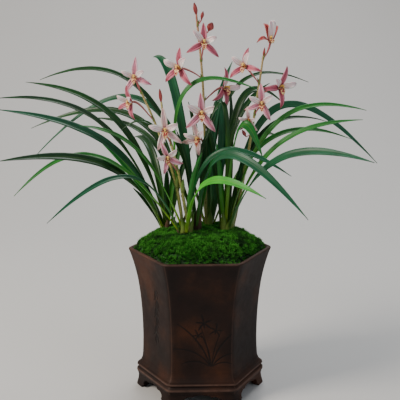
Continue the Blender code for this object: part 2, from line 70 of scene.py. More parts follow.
def addNode(tree, kind, settings=None, inputs=None, stops=None):
    node = tree.nodes.new("ShaderNode" + kind)
    for name, value in (settings or {}).items():
        setattr(node, name, value)
    for name, value in (inputs or {}).items():
        if isinstance(value, bpy.types.NodeSocket):
            tree.links.new(value, node.inputs[name])
        else:
            node.inputs[name].default_value = value
    for i, (place, colour) in enumerate(stops or ()):
        ramp = node.color_ramp.elements
        stop = ramp[i] if i < len(ramp) else ramp.new(place)
        stop.position = place
        stop.color = hexColour(colour) if isinstance(colour, str) else (colour, colour, colour, 1)
    return node


def addRamp(tree, driver, *stops):
    return addNode(tree, "ValToRGB", inputs={"Fac": driver}, stops=stops).outputs["Color"]


def addNoise(tree, place, scale, detail, **others):
    sockets = {"Vector": place, "Scale": scale, "Detail": detail, **others}
    return addNode(tree, "TexNoise", inputs=sockets).outputs["Fac"]


def mixTones(tree, blend, amount, under, over):
    sockets = {"Fac": amount, "Color1": under, "Color2": over}
    return addNode(tree, "MixRGB", {"blend_type": blend}, sockets).outputs["Color"]


def addBump(tree, shader, height, strength, depth):
    # depth is in millimetres
    sockets = {"Height": height, "Strength": strength, "Distance": depth * mm}
    bump = addNode(tree, "Bump", inputs=sockets)
    tree.links.new(bump.outputs["Normal"], shader.inputs["Normal"])


def objectPlace(tree):
    return addNode(tree, "TexCoord").outputs["Object"]


def addCells(tree, size):
    # distance from the middle of the nearest cell; size is in millimetres
    sockets = {"Vector": objectPlace(tree), "Scale": 1 / (size * mm)}
    return addNode(tree, "TexVoronoi", inputs=sockets).outputs["Distance"]


def readUv(tree, across, along):
    # both axes of the UV map, and the map stretched so that noise turns into streaks
    uv = addNode(tree, "UVMap").outputs["UV"]
    parts = addNode(tree, "SeparateXYZ", inputs={"Vector": uv})
    stretch = addNode(tree, "Mapping", inputs={"Vector": uv, "Scale": (across, along, 1)})
    return parts.outputs["X"], parts.outputs["Y"], stretch.outputs["Vector"]


def newMaterial(name, roughness, settings=None):
    material = bpy.data.materials.new(name)
    material.use_nodes = True
    shader = material.node_tree.nodes["Principled BSDF"]
    shader.inputs["Roughness"].default_value = roughness
    for socket, value in (settings or {}).items():
        shader.inputs[socket].default_value = value
    return material, material.node_tree, shader


def compass(angle):
    # level directions: outward at this angle, and a quarter turn on from it
    return (Vector((cos(angle), sin(angle), 0)),
            Vector((-sin(angle), cos(angle), 0)))


def bezier(start, first, second, end, steps):
    return [start * (1 - t) ** 3 + first * 3 * t * (1 - t) ** 2 + second * 3 * t * t * (1 - t)
            + end * t ** 3 for t in (i / steps for i in range(steps + 1))]


def fourAround(points, i):
    return points[max(i - 1, 0)], points[i], points[i + 1], points[min(i + 2, len(points) - 1)]


def curveValue(before, a, b, after, t, k):
    # value k at share t of the way from a to b, on a smooth curve through all four points;
    # the last value of each point is its height
    m0 = (b[k] - before[k]) / (b[-1] - before[-1]) * (b[-1] - a[-1])
    m1 = (after[k] - a[k]) / (after[-1] - a[-1]) * (b[-1] - a[-1])
    return ((2 * t ** 3 - 3 * t ** 2 + 1) * a[k] + (t ** 3 - 2 * t ** 2 + t) * m0
            + (3 * t ** 2 - 2 * t ** 3) * b[k] + (t ** 3 - t ** 2) * m1)


def addObject(name, data):
    made = bpy.data.objects.new(name, data)
    bpy.context.scene.collection.objects.link(made)
    return made


def bakeMesh(name, bm):
    mesh = bpy.data.meshes.new(name)
    bm.to_mesh(mesh)
    bm.free()
    return mesh


def bakeSmooth(name, bm, material):
    mesh = bakeMesh(name, bm)
    mesh.shade_smooth()
    mesh.materials.append(material)
    return addObject(name, mesh)


def shapeGrid(bm, columns, rows, place):
    # a flat grid, each point moved to where place(u, v) says; u and v also become the UV map
    uvMap = bm.loops.layers.uv.verify()
    made = bmesh.ops.create_grid(bm, x_segments=columns, y_segments=rows, size=0.5)
    spots = {v: (v.co.x + 0.5, v.co.y + 0.5) for v in made["verts"]}
    faces = {f for v in made["verts"] for f in v.link_faces}
    for face in faces:
        for loop in face.loops:
            loop[uvMap].uv = spots[loop.vert]
    for v, (across, along) in spots.items():
        v.co = place(across, along)
    return made["verts"]


def sealGrid(bm, verts):
    # joins the seam and the poles of a grid that was wrapped round
    bmesh.ops.remove_doubles(bm, verts=verts, dist=1e-6)


def finishPiece(name, bm, material, replaced=(), wall=0, turnOut=False):
    if turnOut:
        bmesh.ops.recalc_face_normals(bm, faces=bm.faces)
    piece = bakeSmooth(name, bm, material)
    if wall:
        thick = piece.modifiers.new("wall", "SOLIDIFY")
        thick.thickness = wall
        thick.offset = 0
        thick.use_even_offset = False
    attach(piece, body)
    if replaced:
        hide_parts(*replaced)
    return piece


def growTube(bm, path, radii, sides=10, ribs=0.0, flat=1.0):
    # closed tube along path; radii are spread evenly over it, ribs raises three ridges
    count = len(path) - 1
    frames = []
    side = Vector((1, 0.13, 0.05))
    for i, p in enumerate(path):
        along = (path[min(i + 1, count)] - path[max(i - 1, 0)]).normalized()
        side = (side - along * side.dot(along)).normalized()
        frames.append((p, side.copy(), along.cross(side)))

    def place(around, down):
        s = down * (count + 2)
        k = min(max(int(round(s)) - 1, 0), count)
        p, a, b = frames[k]
        if s < 0.5 or s > count + 1.5:
            return p.copy()
        t = k / count * (len(radii) - 1)
        j = min(int(t), len(radii) - 2)
        r = radii[j] + (radii[j + 1] - radii[j]) * (t - j)
        turn = tau * around
        r *= 1 + ribs * cos(3 * turn)
        return p + a * (r * cos(turn)) + b * (r * flat * sin(turn))

    verts = shapeGrid(bm, sides, count + 2, place)
    sealGrid(bm, verts)


# Camera, floor and light: a pale sweep under soft window light from the front left.

view = {"aim": (0, 0, 0.281), "azimuth": -1.9, "elevation": 12.76, "distance": 1.2165, "lens": 76.4}


def makeCamera():
    a, e = radians(view["azimuth"]), radians(view["elevation"])
    back = Vector((sin(a) * cos(e), -cos(a) * cos(e), sin(e)))
    camera = addObject("camera", bpy.data.cameras.new("camera"))
    camera.data.lens = view["lens"]
    camera.data.sensor_width = 36
    camera.data.clip_start = 0.02
    camera.location = Vector(view["aim"]) + back * view["distance"]
    camera.rotation_euler = back.to_track_quat("Z", "Y").to_euler()
    bpy.context.scene.camera = camera


lamps = {
    "keyLeft": {"place": (-1.75, -0.75, 1.5), "size": 0.8, "watts": 58, "colour": "#fff3e4"},
    "fillRight": {"place": (1.6, -1.5, 1.1), "size": 1.4, "watts": 9, "colour": "#e9f1ff"},
    "topBack": {"place": (0.35, 1.1, 1.9), "size": 1.0, "watts": 26, "colour": "#ffffff"},
}


def makeLights():
    for name, lamp in lamps.items():
        light = bpy.data.lights.new(name, "AREA")
        light.size = lamp["size"]
        light.energy = lamp["watts"]
        light.color = hexColour(lamp["colour"])[:3]
        holder = addObject(name, light)
        holder.location = lamp["place"]
        aim = Vector(lamp["place"]) - Vector((0, 0, 0.28))
        holder.rotation_euler = aim.to_track_quat("Z", "Y").to_euler()
    world = bpy.data.worlds.new("studio")
    world.use_nodes = True
    glow = world.node_tree.nodes["Background"].inputs
    glow["Color"].default_value = hexColour("#d9dce0")
    glow["Strength"].default_value = 0.42
    bpy.context.scene.world = world


sweep = {"start": 0.9, "radius": 1.2}


def makeFloor():
    # a sweep: level under the pot, then curving up behind it, so that the front view shows no horizon
    bm = bmesh.new()
    verts = bmesh.ops.create_grid(bm, x_segments=2, y_segments=60, size=5)["verts"]
    for v in verts:
        past = max(0.0, v.co.y - sweep["start"])
        turn = min(past / sweep["radius"], pi / 2)
        beyond = max(0.0, past - sweep["radius"] * pi / 2)
        if past:
            v.co.z = sweep["radius"] * (1 - cos(turn)) + beyond
            v.co.y = sweep["start"] + sweep["radius"] * sin(turn)
    # board painted with matt emulsion: it scatters light evenly and shows no gloss
    material = newMaterial("matt painted board", 0.85, {"Base Color": hexColour("#c4c4c3")})[0]
    floor = bakeSmooth("sweep", bm, material)


makeCamera()
makeLights()
makeFloor()
print("stage set")


# Orchid leaf: a leathery strap with fine parallel veins, a waxy skin and a pale clasping base.

# leaf tones, partly the leaves' own colours and partly painted light: the lighter tones mostly go on front
# leaves lit from above, the deep tone mostly on leaves further back as painted shade, and the lime tone
# darkens towards its tip as painted shade
leafLitAndShadedTones = {
    "deep": {"base": "#6f922a", "low": "#2c611a", "mid": "#11401b", "tip": "#174a24"},
    "teal": {"base": "#557f38", "low": "#216238", "mid": "#12573a", "tip": "#176045"},
    "fresh": {"base": "#8fb038", "low": "#4a9426", "mid": "#237a2a", "tip": "#1f7433"},
    "lime": {"base": "#a9c94a", "low": "#66bd34", "mid": "#4cbc38", "tip": "#2f8f33"},
}


def makeLeafMaterial(name, tones):
    # grown strap leaf: a thin wax skin gives a soft broad shine, with fine veins all along it
    material, tree, shader = newMaterial("waxy orchid leaf " + name, 0.4, {"Specular IOR Level": 0.32})
    across, along, streaks = readUv(tree, 26, 1.6)
    blade = addRamp(tree, along, (0.0, tones["base"]), (0.16, tones["low"]), (0.42, tones["mid"]),
                    (1.0, tones["tip"]))
    veins = addNoise(tree, streaks, 1.0, 3.0, Roughness=0.6)
    veined = mixTones(tree, "MULTIPLY", 0.8, blade, addRamp(tree, veins, (0.3, 0.72), (0.7, 1.25)))
    # slow patches, about 20 mm apart, where the blade is a little younger and yellower
    patches = addNoise(tree, objectPlace(tree), 1 / (20 * mm), 2.0)
    patchTone = addRamp(tree, patches, (0.35, "#c4d0b0"), (0.65, "#fffbe0"))
    patched = mixTones(tree, "MULTIPLY", 0.7, veined, patchTone)
    # the sunken midrib shows as a thin pale line
    rib = addRamp(tree, across, (0.465, 0.0), (0.495, 0.28), (0.505, 0.28), (0.535, 0.0))
    ribbed = mixTones(tree, "MIX", rib, patched, hexColour(tones["base"]))
    tree.links.new(ribbed, shader.inputs["Base Color"])
    addBump(tree, shader, veins, 0.35, 0.15)
    return material


leafMaterials = {name: makeLeafMaterial(name, tones) for name, tones in leafLitAndShadedTones.items()}

# growing points: x, y, height of the shoot top
shoots = {"a": (-47, 32, 231), "b": (-21, -8, 235.5), "c": (-4, 9, 236), "d": (14, 37, 234.5),
          "e": (38, 18, 233)}

# name, shoot, distance of the seat from the shoot's middle, shoulder that the blade climbs towards,
# tip it falls to (both x, y, height), width, twist, tone with its painted light
leafPlan = (
    ("leaf_a1", "a", 3, (-95, 45, 430), (-250, 55, 445), 10, -45, "deep"),
    ("leaf_a2", "a", 4.5, (-122, -5, 440), (-268, -75, 435), 9, -45, "deep"),
    ("leaf_a3", "a", 7.5, (-100, -9, 392), (-268, -70, 420), 12, -50, "teal"),
    ("leaf_a4", "a", 7, (-90, 40, 320), (-155, 50, 370), 12, -55, "fresh"),
    ("leaf_a5", "a", 9.5, (-108, -25, 370), (-256, -150, 365), 12, -55, "deep"),
    ("leaf_a6", "a", 10, (-72, 30, 265), (-97, 27, 294), 9, -30, "deep"),
    ("leaf_b1", "b", 8, (-42, 35, 390), (-160, 80, 390), 8, -35, "deep"),
    ("leaf_b2", "b", 5, (-52, 5, 430), (-112, 10, 380), 6, -30, "deep"),
    ("leaf_b3", "b", 10, (-145, -40, 415), (-250, -75, 305), 8, -35, "fresh"),
    ("leaf_b4", "b", 11, (-85, -58, 380), (-197, -150, 286), 8, -30, "teal"),
    ("leaf_b5", "b", 4, (-77, -30, 385), (-160, -82, 400), 10, -35, "fresh"),
    ("leaf_b6", "b", 1, (-65, 0, 498), (78, -30, 441), 9, 40, "fresh"),
    ("leaf_b7", "b", 4, (-2, -24, 408), (123, -52, 325), 10, 40, "teal"),
    ("leaf_b8", "b", 12, (-10, -72, 358), (78, -150, 316), 11, 50, "lime"),
    ("leaf_c1", "c", 3, (-34, 45, 492), (-66, 60, 480), 12, -55, "teal"),
    ("leaf_c2", "c", 6.5, (-60, 68, 458), (-257, 125, 368), 10, -45, "deep"),
    ("leaf_c3", "c", 5, (8, -66, 432), (132, -150, 288), 12, 50, "teal"),
    ("leaf_d1", "d", 6, (-70, 52, 510), (-230, 60, 448), 9, -35, "deep"),
    ("leaf_d2", "d", 9, (-60, 92, 525), (-258, 132, 318), 9, -45, "teal"),
    ("leaf_d3", "d", 2, (15, 55, 400), (50, 72, 473), 10, 45, "teal"),
    ("leaf_d4", "d", 6, (38, 18, 366), (31, 2, 425), 13, 0, "teal"),
    ("leaf_d5", "d", 5, (47, 56, 410), (107, 84, 440), 9, 35, "deep"),
    ("leaf_d6", "d", 5.5, (20, 65, 500), (167, 98, 440), 7, 30, "deep"),
    ("leaf_d7", "d", 9, (91, 58, 410), (232, 76, 356), 8, 40, "fresh"),
    ("leaf_e1", "e", 2, (42, -14, 475), (13, -28, 398), 8, -10, "deep"),
    ("leaf_e2", "e", 10, (48, 44, 376), (46, 58, 437), 10, 60, "deep"),
    ("leaf_e3", "e", 5, (41, 34, 492), (130, 66, 408), 10, 45, "deep"),
    ("leaf_e4", "e", 5.5, (47, -28, 460), (86, -34, 346), 13, 40, "fresh"),
    ("leaf_e5", "e", 5, (89, 2, 446), (230, -20, 411), 9, 40, "fresh"),
    ("leaf_e6", "e", 5, (89, 62, 510), (268, 60, 322), 10, 60, "teal"),
    ("leaf_e7", "e", 8, (75, 48, 419), (193, 78, 383), 7, 35, "deep"),
    ("leaf_e8", "e", 8, (86, -14, 392), (219, -50, 402), 9, 45, "fresh"),
    ("leaf_e9", "e", 10.5, (84, -70, 394), (213, -150, 361), 12, 50, "teal"),
    ("leaf_back1", "a", 8, (-65, 75, 370), (-100, 150, 350), 11, -30, "deep"),
    ("leaf_back2", "d", 9, (20, 85, 365), (30, 150, 335), 12, 30, "teal"),
    ("leaf_back3", "e", 11.5, (75, 80, 385), (130, 150, 350), 10, 30, "deep"),
)

leafBlade = {"steps": 64, "columns": 10, "thickness": 0.7 * mm, "ripple": 0.3 * mm, "fullness": 1.12,
             "shoulderPull": 0.75}


def makeLeaf(name, shoot, seatRadius, shoulder, tip, width, twist, litAndShadedTone):
    x, y, z = shoots[shoot]
    outward = Vector((shoulder[0] - x, shoulder[1] - y, 0)).normalized()
    seat = Vector((x, y, z + 0.5)) + outward * seatRadius
    corner, end = Vector(shoulder), Vector(tip)
    climb = seat.lerp(corner, leafBlade["shoulderPull"])
    fall = end.lerp(corner, leafBlade["shoulderPull"])
    steps = leafBlade["steps"]
    path = [p * mm for p in bezier(seat, climb, fall, end, steps)]
    length = sum((b - a).length for a, b in zip(path, path[1:])) / mm
    level = Vector((seat.y - end.y, end.x - seat.x, 0)).normalized()
    sides = []
    for i, p in enumerate(path):
        t = i / steps
        along = (path[min(i + 1, steps)] - path[max(i - 1, 0)]).normalized()
        face = along.cross(level).normalized()
        side = face.cross(along)
        turn = radians(twist) * min(1.0, t / 0.4)
        sides.append((side * cos(turn) + face * sin(turn),
                      face * cos(turn) - side * sin(turn)))
    seed = sum(ord(c) for c in name)

    def place(u, t):
        k = int(round(t * steps))
        across, face = sides[k]
        grow = 0.46 + 0.54 * sin(min(1.0, t / 0.45) * pi / 2)
        taper = 1 - ((t - 0.5) / 0.5) ** 2.6 if t > 0.5 else 1.0
        half = 0.5 * width * mm * leafBlade["fullness"] * grow * max(taper, 0.03)
        q = (u - 0.5) * 2
        # folded like a trough at the base and opening out; narrow blades stay more folded
        fold = (0.5 if width < 10 else 0.28) + 0.7 * max(0.0, 1 - t / 0.22) ** 2
        lift = half * fold * (sqrt(q * q + 0.02) - 0.14)
        lift += half * 0.05 * cos(q * pi * 3)
        wave = noise.noise(Vector((t * length / 26, seed * 3.1, q * 0.4)))
        lift += leafBlade["ripple"] * wave * 2 * abs(q) * min(1, t * 5)
        return path[k] + across * (half * q / sqrt(1 + fold * fold * 0.6)) + face * lift

    bm = bmesh.new()
    shapeGrid(bm, leafBlade["columns"], steps, place)
    replaced = (name,) if name in frame["nodes"] else ()
    finishPiece(name.replace("leaf", "blade"), bm, leafMaterials[litAndShadedTone], replaced,
                wall=leafBlade["thickness"])


for plan in leafPlan:
    makeLeaf(*plan)

# young blades in the heart of each shoot, with no solid of their own: name that ends in the shoot
# and a number, heading, distance of the seat from the shoot's middle, length, lean of the tip,
# width, twist, tone with its painted light
youngPlan = (
    ("young_a1", 60, 4.0, 150, 20, 8, 20, "fresh"),
    ("young_a2", 270, 6.0, 112, 26, 8, 20, "deep"),
    ("young_a3", 10, 7.0, 128, 14, 8, 60, "deep"),
    ("young_b1", 20, 5.5, 172, 14, 8, 30, "deep"),
    ("young_b2", 300, 5.0, 128, 18, 8, -20, "fresh"),
    ("young_b3", 140, 8.0, 150, 14, 8, 60, "deep"),
    ("young_c1", 40, 5.0, 185, 9, 8, 60, "deep"),
    ("young_c2", 210, 5.0, 150, 11, 7, 50, "deep"),
    ("young_c3", 335, 6.0, 120, 12, 7, 70, "fresh"),
    ("young_d1", 225, 6.5, 190, 11, 9, 50, "deep"),
    ("young_d2", 325, 6.5, 168, 14, 9, 60, "deep"),
    ("young_d3", 260, 8.0, 150, 10, 8, 20, "deep"),
    ("young_d4", 120, 8.0, 172, 14, 8, 40, "deep"),
    ("young_e1", 185, 8.5, 176, 8, 9, 60, "deep"),
    ("young_e2", 250, 8.0, 140, 16, 9, 60, "fresh"),
    ("young_e3", 20, 10.0, 160, 22, 8, 40, "deep"),
)


def makeYoungLeaf(name, heading, seatRadius, length, lean, width, twist, litAndShadedTone):
    # the lower half stands at a third of the lean, so the blade bows outward
    shoot = name[-2]
    x, y, z = shoots[shoot]
    away = compass(radians(heading))[0]
    seat = Vector((x, y, z)) + away * seatRadius
    low, high = radians(lean / 3), radians(lean)
    shoulder = seat + (away * sin(low) + skyward * cos(low)) * length * 0.6
    tip = seat + (away * sin(high) + skyward * cos(high)) * length
    makeLeaf(name, shoot, seatRadius, shoulder, tip, width, twist, litAndShadedTone)


for plan in youngPlan:
    makeYoungLeaf(*plan)
print("leaves grown:", len(leafPlan) + len(youngPlan))


# Sheaths: short papery wraps round each shoot, green where fresh and brown where old.

def makeSheathMaterial(name, low, high, tip, roughness):
    # leaf base wrapped round the shoot, thin and ribbed by its veins; the dry ones are papery and dull
    material, tree, shader = newMaterial(name, roughness)
    _, along, streaks = readUv(tree, 34, 1.3)
    skin = addRamp(tree, along, (0.0, low), (0.6, high), (1.0, tip))
    veins = addNoise(tree, streaks, 1.0, 4.0)
    mixed = mixTones(tree, "MULTIPLY", 0.85, skin, addRamp(tree, veins, (0.3, 0.55), (0.7, 1.3)))
    tree.links.new(mixed, shader.inputs["Base Color"])
    addBump(tree, shader, veins, 0.6, 0.25)
    return material


greenSheath = makeSheathMaterial("fresh leaf sheath", "#7f8a44", "#668833", "#4a6c28", 0.5)
drySheath = makeSheathMaterial("dry papery sheath", "#33241a", "#5d4431", "#8a6d50", 0.85)

# shoot, angle, distance from its middle, height, width, lean, dry or green
sheathPlan = (
    ("a", 200, 10, 34, 13, 14, "green"), ("a", 20, 10, 26, 12, 8, "green"), ("a", 270, 10, 22, 12, 10, "dry"),
    ("b", 250, 11, 30, 13, 10, "green"), ("b", 120, 11, 26, 12, 4, "dry"), ("b", 340, 10, 36, 12, 5, "green"),
    ("b", 180, 12, 24, 12, 14, "dry"),
    ("c", 270, 7, 38, 11, 2, "dry"), ("c", 300, 8, 30, 9, 8, "dry"), ("c", 60, 7, 22, 10, 6, "dry"),
    ("d", 280, 10, 30, 12, 6, "green"), ("d", 100, 10, 26, 12, 8, "dry"),
    ("e", 250, 11, 34, 13, 6, "green"), ("e", 330, 12, 40, 13, 12, "green"), ("e", 60, 12, 24, 12, 10, "dry"),
    ("e", 290, 12, 24, 12, 12, "green"),
)


def makeSheath(index, shoot, angle, radius, height, width, lean, kind):
    x, y, z = shoots[shoot]
    out, side = compass(radians(angle))
    foot = Vector((x, y, z - 5)) * mm + out * radius * mm

    def place(u, t):
        q = (u - 0.5) * 2
        wrap = radians(75) * q * (1 - 0.35 * t)
        wide = width * mm * 0.5 * (1 - t ** 2.2 * 0.97)
        curl = 0.9 * mm * noise.noise(Vector((q * 2, t * 4, index * 7.7)))
        rise = (skyward * (height * mm * t)
                + out * (tan(radians(lean)) * height * mm * t * t + curl * t))
        return foot + rise + side * (wide * sin(wrap)) - out * (wide * (1 - cos(wrap)))

    bm = bmesh.new()
    shapeGrid(bm, 8, 14, place)
    material = greenSheath if kind == "green" else drySheath
    finishPiece(f"sheath_{shoot}_{index:02d}", bm, material, wall=0.5 * mm)


for index, plan in enumerate(sheathPlan):
    makeSheath(index, *plan)
print("sheaths wrapped:", len(sheathPlan))


# Flower stalks: round, waxy, olive below and flushed red towards the buds.

stalkPlan = {
    "scape_centre": ((10, 30, 235.2), (8, 20, 350), (4, 9, 450), (-5, 3, 541)),
    "scape_right": ((49, 21.5, 233.8), (66, 19, 320), (82, 9, 435), (88, 4, 484)),
    "scape_left": ((-23, -17.5, 236.2), (-35, -13, 310), (-62, -3, 390), (-84, 2, 440)),
    "scape_inner": ((-15.5, -16.5, 236.2), (-30, -19, 320), (-52, -14, 410), (-54, -13, 423)),
}
# the bud each stalk ends in: place of its tip, radius
topBuds = {
    "scape_centre": ((-8, 2, 556.5), 3.0),
    "scape_right": ((90, 5, 496), 1.7),
    "scape_left": ((-88, 4, 450), 1.8),
    "scape_inner": ((-56, -13, 441), 2.5),
}
# side buds: stalk, height they leave it, place of the bud tip, length, radius
sideBuds = (
    ("scape_centre", 526, (4, -4, 545), 11, 2.4),
    ("scape_centre", 510, (17, 7, 530), 12, 5.0),
    ("scape_right", 372, (60, 4, 381), 11, 2.6),
)
# name, stalk, height it leaves the stalk, middle of the flower, bearing it looks along
# (front is -90), upward tilt, size, opening, clock angles of the dorsal sepal, left petal,
# right petal, left sepal and right sepal seen face on, sepal tone
flowerPlan = (
    ("flower_01", "scape_left", 434, (-90, -13, 457), -96, 5, 0.92, 1.0, (86, 155, 30, 238, 337), "pink"),
    ("flower_02", "scape_left", 396, (-95, -22, 424), -128, -5, 0.86, 0.9, (92, 140, 40, 205, 282), "rose"),
    ("flower_03", "scape_inner", 364, (-49, -34, 387), -88, 0, 1.08, 1.0, (95, 162, 28, 250, 322), "pale"),
    ("flower_04", "scape_inner", 326, (-46, -37, 350), -84, -8, 0.88, 0.95, (112, 167, 51, 257, 336), "pink"),
    ("flower_05", "scape_centre", 452, (-28, -8, 469), -118, 4, 1.04, 0.95, (83, 149, 40, 225, 309), "rose"),
    ("flower_06", "scape_centre", 478, (5, -12, 503), -88, 10, 1.0, 1.0, (92, 135, 20, 209, 316), "rose"),
    ("flower_07", "scape_centre", 386, (2, -9, 407), -90, 0, 1.12, 1.0, (94, 148, 25, 224, 306), "pink"),
    ("flower_08", "scape_centre", 352, (-2, -4, 371), -112, -6, 0.98, 1.0, (100, 155, 50, 197, 268), "pale"),
    ("flower_09", "scape_centre", 421, (34, 12, 440), -48, -4, 1.0, 0.95, (98, 130, 6, 215, 270), "rose"),
    ("flower_10", "scape_right", 446, (61, -12, 471), -112, 12, 0.96, 0.85, (78, 144, 60, 221, 346), "rose"),
    ("flower_11", "scape_right", 481, (97, -2, 503), -80, 48, 0.92, 0.55, (110, 94, 78, 200, 62), "red"),
    ("flower_12", "scape_right", 426, (111, -2, 442), -66, 0, 1.0, 0.95, (79, 140, 16, 182, 270), "rose"),
    ("flower_13", "scape_right", 402, (86, -10, 420), -98, 2, 1.0, 1.0, (94, 150, 40, 200, 297), "pink"),
    ("flower_14", "scape_right", 388, (68, -8, 398), -100, -10, 0.7, 0.7, (95, 150, 35, 225, 310), "pale"),
)
hubRadius, hubHalf = 2.4 * mm, 1.7 * mm


def makeStalkMaterial():
    # living stalk with a thin wax bloom: half-gloss, olive low down and flushed red above, with
    # fine red flecks
    material, tree, shader = newMaterial("waxy flower stalk", 0.42)
    place = objectPlace(tree)
    parts = addNode(tree, "SeparateXYZ", inputs={"Vector": place})
    height = addNode(tree, "MapRange", inputs={"Value": parts.outputs["Z"], "From Min": 235 * mm,
                                               "From Max": 545 * mm})
    tone = addRamp(tree, height.outputs["Result"], (0.0, "#6c7a35"), (0.35, "#a3a25a"),
                   (0.72, "#b9ab72"), (0.93, "#bd9070"), (1.0, "#b2604f"))
    fleck = addNoise(tree, place, 1 / (1.6 * mm), 2.0)
    mixed = mixTones(tree, "MULTIPLY", 0.6, tone, addRamp(tree, fleck, (0.36, "#9c5a4a"), (0.5, "#ffffff")))
    tree.links.new(mixed, shader.inputs["Base Color"])
    return material


# light sinks about a millimetre into living petals and comes out redder
softTissue = {"Subsurface Weight": 0.18, "Subsurface Radius": (1.2, 0.6, 0.5), "Subsurface Scale": 1.0 * mm}


def makeFloralMaterial(name, edge, heart, vein, tip, stripes, roughness=0.48):
    # thin living tissue: soft, slightly see-through, with branching veins along it
    material, tree, shader = newMaterial(name, roughness, softTissue)
    across, along, streaks = readUv(tree, stripes, 0.9)
    middle = addRamp(tree, across, (0.05, edge), (0.38, heart), (0.62, heart), (0.95, edge))
    ends = addRamp(tree, along, (0.0, vein), (0.2, "#ffffff"), (0.72, "#ffffff"), (1.0, tip))
    shaded = mixTones(tree, "MULTIPLY", 0.9, middle, ends)
    lines = addNoise(tree, streaks, 1.0, 2.0, Distortion=0.2)
    lineMask = addRamp(tree, lines, (0.5, 0.0), (0.62, 0.8))
    veined = mixTones(tree, "MIX", lineMask, shaded, hexColour(vein))
    tree.links.new(veined, shader.inputs["Base Color"])
    addBump(tree, shader, lines, 0.3, 0.2)
    return material


def makeLipMaterial():
    # fleshy lip of the flower: soft and slightly see-through, cream with crimson spots
    material, tree, shader = newMaterial("spotted orchid lip", 0.5, softTissue)
    mask = addRamp(tree, addCells(tree, 2.6), (0.4, 1.0), (0.56, 0.0))
    mixed = mixTones(tree, "MIX", mask, hexColour("#f0c890"), hexColour("#98182c"))
    tree.links.new(mixed, shader.inputs["Base Color"])
    return material


stalkSkin = makeStalkMaterial()
pedicelSkin = makeFloralMaterial("flushed pedicel", "#c98a7c", "#a9505a", "#8c3545", "#c7707a", 3, 0.42)
sepalSkins = {
    "pink": makeFloralMaterial("pink sepal", "#f0cdd8", "#d3879d", "#a3405a", "#f0d0d8", 9),
    "rose": makeFloralMaterial("rose sepal", "#dd93a4", "#b9566c", "#8a2f48", "#d98a9a", 9),
    "pale": makeFloralMaterial("pale sepal", "#f2e6dc", "#dfb9bb", "#b56c7c", "#f6f0e6", 8),
    "red": makeFloralMaterial("red sepal", "#cf6a64", "#a2312f", "#78191f", "#a8342f", 9),
}
petalSkin = makeFloralMaterial("white petal", "#f5f3f0", "#eedfe2", "#c6788c", "#f7f7f4", 6)
lipSkin = makeLipMaterial()
columnSkin = makeFloralMaterial("orchid column", "#f4dc92", "#efc868", "#c0705a", "#fbeeb0", 5)
budSkin = makeFloralMaterial("red bud", "#c2605a", "#96302f", "#6f1518", "#8a2a24", 8)


def stalkPoint(points, z):
    # place on the stalk at height z
    for i in range(len(points) - 1):
        near = fourAround(points, i)
        low, high = near[1][2], near[2][2]
        if z <= high or i == len(points) - 2:
            t = (z - low) / (high - low)
            return Vector((curveValue(*near, t, 0), curveValue(*near, t, 1), z)) * mm


def flowerAxes(bearing, tilt):
    a, t = radians(bearing), radians(tilt)
    ahead = Vector((cos(a) * cos(t), sin(a) * cos(t), sin(t)))
    right = skyward.cross(ahead).normalized()
    return ahead, right, ahead.cross(right)


def bendPath(start, lead, end, arrive, steps):
    span = (end - start).length
    return bezier(start, start + lead * span * 0.4, end - arrive * span * 0.35, end, steps)


def growBract(bm, foot, out, length, width):
    # pointed scale clasping the stalk under each flower
    side = skyward.cross(out).normalized()

    def place(u, t):
        q = (u - 0.5) * 2
        wide = width * 0.5 * sin(pi * min(1, 0.25 + t * 0.75)) * (1 - 0.15 * t)
        cup = 0.45 * wide * (1 - q * q)
        return foot + skyward * (length * t * 0.9) + out * (length * 0.28 * t * t + cup) + side * wide * q

    shapeGrid(bm, 6, 8, place)


def growBud(bm, foot, axis, length, radius):
    path = [foot + axis * (length * i / 14) for i in range(15)]
    growTube(bm, path, [radius * k for k in (0.3, 0.62, 0.88, 1.0, 0.96, 0.8, 0.55, 0.22)],
             sides=18, ribs=0.06)


